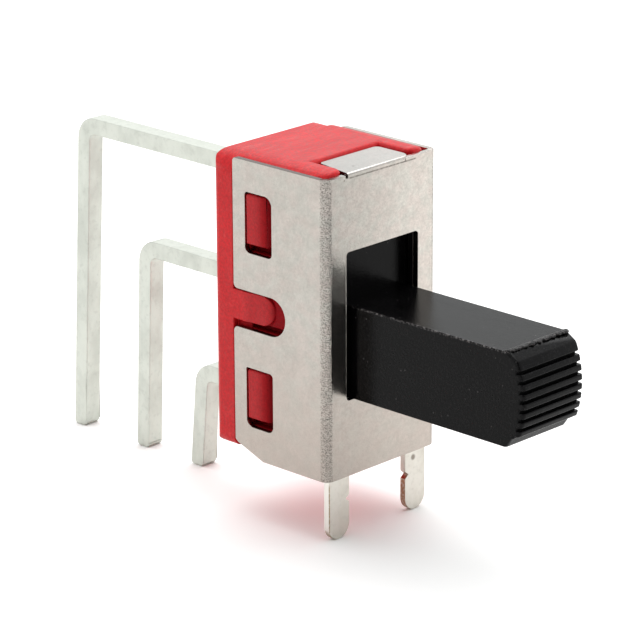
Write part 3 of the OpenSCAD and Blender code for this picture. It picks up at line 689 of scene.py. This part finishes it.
def snap_slope(edge):
    """Between a boss's front slope and its outer face."""
    slope = any(0.5 < abs(f.normal.x) < 0.9 and f.normal.y < -0.5 for f in edge.link_faces)
    return snap_place(edge) and slope and any(abs(f.normal.x) > 0.9 for f in edge.link_faces)


def snap_rim(edge):
    """Rim of the snap bosses, above and below the tongue."""
    off_tongue = abs(edge.verts[0].co.z - SLOT_MIDDLE) > TONGUE_HALF
    boss = off_tongue and all(abs(v.co.x) > BOSS_INNER for v in edge.verts)
    outer = any(abs(f.normal.x) > 0.6 for f in edge.link_faces)
    level = any(abs(f.normal.x) < 0.1 for f in edge.link_faces)
    return snap_place(edge) and boss and outer and level


def loft(name, rings, body, material):
    """A closed piece through rings of points, capped at both ends."""
    bm = bmesh.new()
    rows = [[bm.verts.new(p) for p in ring] for ring in rings]
    count = len(rows[0])
    for a, b in zip(rows, rows[1:]):
        for k in range(count):
            bm.faces.new((a[k], a[(k + 1) % count], b[(k + 1) % count], b[k]))
    bm.faces.new(rows[0][::-1])
    bm.faces.new(rows[-1])
    bmesh.ops.recalc_face_normals(bm, faces=bm.faces)
    for face in bm.faces:
        face.smooth = True
    mesh = bpy.data.meshes.new(name)
    bm.to_mesh(mesh)
    bm.free()
    piece = bpy.data.objects.new(name, mesh)
    bpy.context.scene.collection.objects.link(piece)
    mesh.materials.append(material)
    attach(piece, body)


FLASH_SEED = 5
FLASH_RINGS = 90
FLASH_RISE = 0.10 * MM
FLASH_REACH = 0.17 * MM


def flash_lip():
    """Ragged moulding flash along the front of the bar's top."""
    rng = random.Random(FLASH_SEED)
    rise = [rng.uniform(0.2, 1.0) for _ in range(FLASH_RINGS)]
    reach = [rng.uniform(0.1, 1.0) for _ in range(FLASH_RINGS)]
    rings = []
    for i in range(FLASH_RINGS):
        x = -BAR_SIDE + 0.03 * MM + (2 * BAR_SIDE - 0.08 * MM) * i / (FLASH_RINGS - 1)
        near = range(max(0, i - 1), min(FLASH_RINGS, i + 2))
        up = FLASH_RISE * sum(rise[k] for k in near) / len(near)
        out = FLASH_REACH * sum(reach[k] for k in near) / len(near)
        # Behind and above the bar's front upper edge: over the top, down the front and back
        profile = ((0.26 * MM, -0.010 * MM), (0.16 * MM, 0.40 * up), (0.05 * MM, up),
                   (-0.4 * out, 0.9 * up), (-out, 0.4 * up), (-out, 0.1 * up - 0.03 * MM),
                   (0.02 * MM, -0.035 * MM), (0.10 * MM, -0.035 * MM))
        rings.append([(x, BAR_NOSE + dy, BAR_TOP + dz) for dy, dz in profile])
    loft("bar_flash", rings, "slider", flash_material())


refined("steel_frame", 0.03)
refined("housing", 0.04, wide=[(top_rim, 0.18), (snap_slope, 0.22), (snap_rim, 0.11)],
        shape=soften_tongues)
refined("support_bracket", 0.025)
refined("actuator", 0.03, wide=[(rib_edge, 0.06)], late=round_nose)
flash_lip()
for name in ("upper_terminal", "centre_terminal", "lower_terminal"):
    refined(name, 0.06)

# The CAD nodes' own slots, seen where no skin stands for them.
for name, obj in nodes.items():
    for slot in obj.material_slots:
        slot.material = materials[slot_of[name]]

# ---------------------------------------------------------------- studio

AZIMUTH, ELEVATION, ROLL = (math.radians(v) for v in (-46.135, 18.672, -0.25))
TO_CAMERA = Vector((math.sin(AZIMUTH) * math.cos(ELEVATION),
                    -math.cos(AZIMUTH) * math.cos(ELEVATION), math.sin(ELEVATION)))
# The world is plain white to the camera. As a light it is white all round, with a dark gap where
# the camera stands; the gap's rim is given as the cosine of the angle from the camera.
WORLD_LEVEL = 1.02
GAP_LEVEL = 0.12
GAP_OUTER, GAP_INNER = 0.76, 0.92
WORLD_WHITE = (0.98, 1.0, 1.0, 1)

world = bpy.data.worlds.new("studio")
bpy.context.scene.world = world
world.use_nodes = True
wt = world.node_tree
wt.nodes.clear()
w_out = wt.nodes.new("ShaderNodeOutputWorld")
w_mix = wt.nodes.new("ShaderNodeMixShader")
w_path = wt.nodes.new("ShaderNodeLightPath")
w_seen = wt.nodes.new("ShaderNodeBackground")
w_seen.inputs["Color"].default_value = (1, 1, 1, 1)
w_seen.inputs["Strength"].default_value = 1.0
w_lit = wt.nodes.new("ShaderNodeBackground")
w_lit.inputs["Color"].default_value = WORLD_WHITE
w_dir = wt.nodes.new("ShaderNodeTexCoord")
w_dot = wt.nodes.new("ShaderNodeVectorMath")
w_dot.operation = "DOT_PRODUCT"
w_dot.inputs[1].default_value = TO_CAMERA
w_level = wt.nodes.new("ShaderNodeMapRange")
w_level.interpolation_type = "SMOOTHSTEP"
for socket, value in (("From Min", GAP_OUTER), ("From Max", GAP_INNER),
                      ("To Min", WORLD_LEVEL), ("To Max", GAP_LEVEL)):
    w_level.inputs[socket].default_value = value
wt.links.new(w_dir.outputs["Generated"], w_dot.inputs[0])
wt.links.new(w_dot.outputs["Value"], w_level.inputs["Value"])
wt.links.new(w_level.outputs["Result"], w_lit.inputs["Strength"])
wt.links.new(w_path.outputs["Is Camera Ray"], w_mix.inputs[0])
wt.links.new(w_lit.outputs[0], w_mix.inputs[1])
wt.links.new(w_seen.outputs[0], w_mix.inputs[2])
wt.links.new(w_mix.outputs[0], w_out.inputs["Surface"])


FLOOR_LOW = (0.79, 0.77, 0.75)
FLOOR_HIGH = (0.80, 0.78, 0.76)
FLOOR_MIRRORED = (0.94, 0.93, 0.92)
FLOOR_SEEN = (1.16, 1.145, 1.14)


def floor_material():
    """White floor, bright to the camera and duller as a source of bounced light."""
    n = Nodes("floor_white")
    soft = n.noise(0.02, 2.0)
    path = n.add("ShaderNodeLightPath")
    mirrored = n.math("MAXIMUM", path.outputs["Is Glossy Ray"], path.outputs["Is Transmission Ray"])
    lit = n.mix(soft, FLOOR_LOW, FLOOR_HIGH)
    lit = n.mix(mirrored, lit, FLOOR_MIRRORED)
    lit = n.mix(path.outputs["Is Camera Ray"], lit, FLOOR_SEEN)
    n.set(Base_Color=lit, Roughness=0.6, Specular_IOR_Level=0.2)
    return n.mat


FLOOR_HALF = 1.5
floor_mesh = bpy.data.meshes.new("floor")
floor_mesh.from_pydata([(-FLOOR_HALF, -FLOOR_HALF, 0), (FLOOR_HALF, -FLOOR_HALF, 0),
                        (FLOOR_HALF, FLOOR_HALF, 0), (-FLOOR_HALF, FLOOR_HALF, 0)],
                       [], [(0, 1, 2, 3)])
floor = bpy.data.objects.new("floor", floor_mesh)
bpy.context.scene.collection.objects.link(floor)
floor_mesh.materials.append(floor_material())


def softbox(name, where, aim, size, power):
    """A rectangular lamp of size metres and power watts, turned towards aim."""
    data = bpy.data.lights.new(name, "AREA")
    data.shape = "RECTANGLE"
    data.size, data.size_y = size
    data.energy = power
    lamp = bpy.data.objects.new(name, data)
    bpy.context.scene.collection.objects.link(lamp)
    lamp.location = where
    lamp.rotation_euler = (aim - where).to_track_quat("-Z", "Y").to_euler()


LAMP_AIM = at(0, 3, 6)
LAMP_OFFSET = Vector((0.14, 0.14, 0.42))
LAMP_SIZE = (0.5, 0.5)
LAMP_POWER = 1.35
softbox("overhead", LAMP_AIM + LAMP_OFFSET, LAMP_AIM, LAMP_SIZE, LAMP_POWER)

# ---------------------------------------------------------------- camera

# The camera stands DISTANCE from AIM, then moves left and down across its own view. Its focal
# length is given in picture widths.
AIM = at(0, 2, 6)
DISTANCE = 144.562 * MM
OFF_RIGHT, OFF_UP = 1.067 * MM, 0.287 * MM
FOCAL_WIDTHS = 5.575
SENSOR = 36.0

back = TO_CAMERA
level = Vector((math.cos(AZIMUTH), math.sin(AZIMUTH), 0))
rise = back.cross(level)
right = math.cos(ROLL) * level + math.sin(ROLL) * rise
up = -math.sin(ROLL) * level + math.cos(ROLL) * rise
cam_data = bpy.data.cameras.new("camera")
cam_data.sensor_width = SENSOR
cam_data.lens = FOCAL_WIDTHS * SENSOR
cam_data.clip_start = 0.005
cam_data.clip_end = 10.0
camera = bpy.data.objects.new("camera", cam_data)
bpy.context.scene.collection.objects.link(camera)
place = AIM - OFF_RIGHT * right - OFF_UP * up + DISTANCE * back
camera.matrix_world = Matrix((
    (right.x, up.x, back.x, place.x), (right.y, up.y, back.y, place.y),
    (right.z, up.z, back.z, place.z), (0, 0, 0, 1)))
bpy.context.scene.camera = camera
bpy.context.scene.view_settings.view_transform = "Standard"
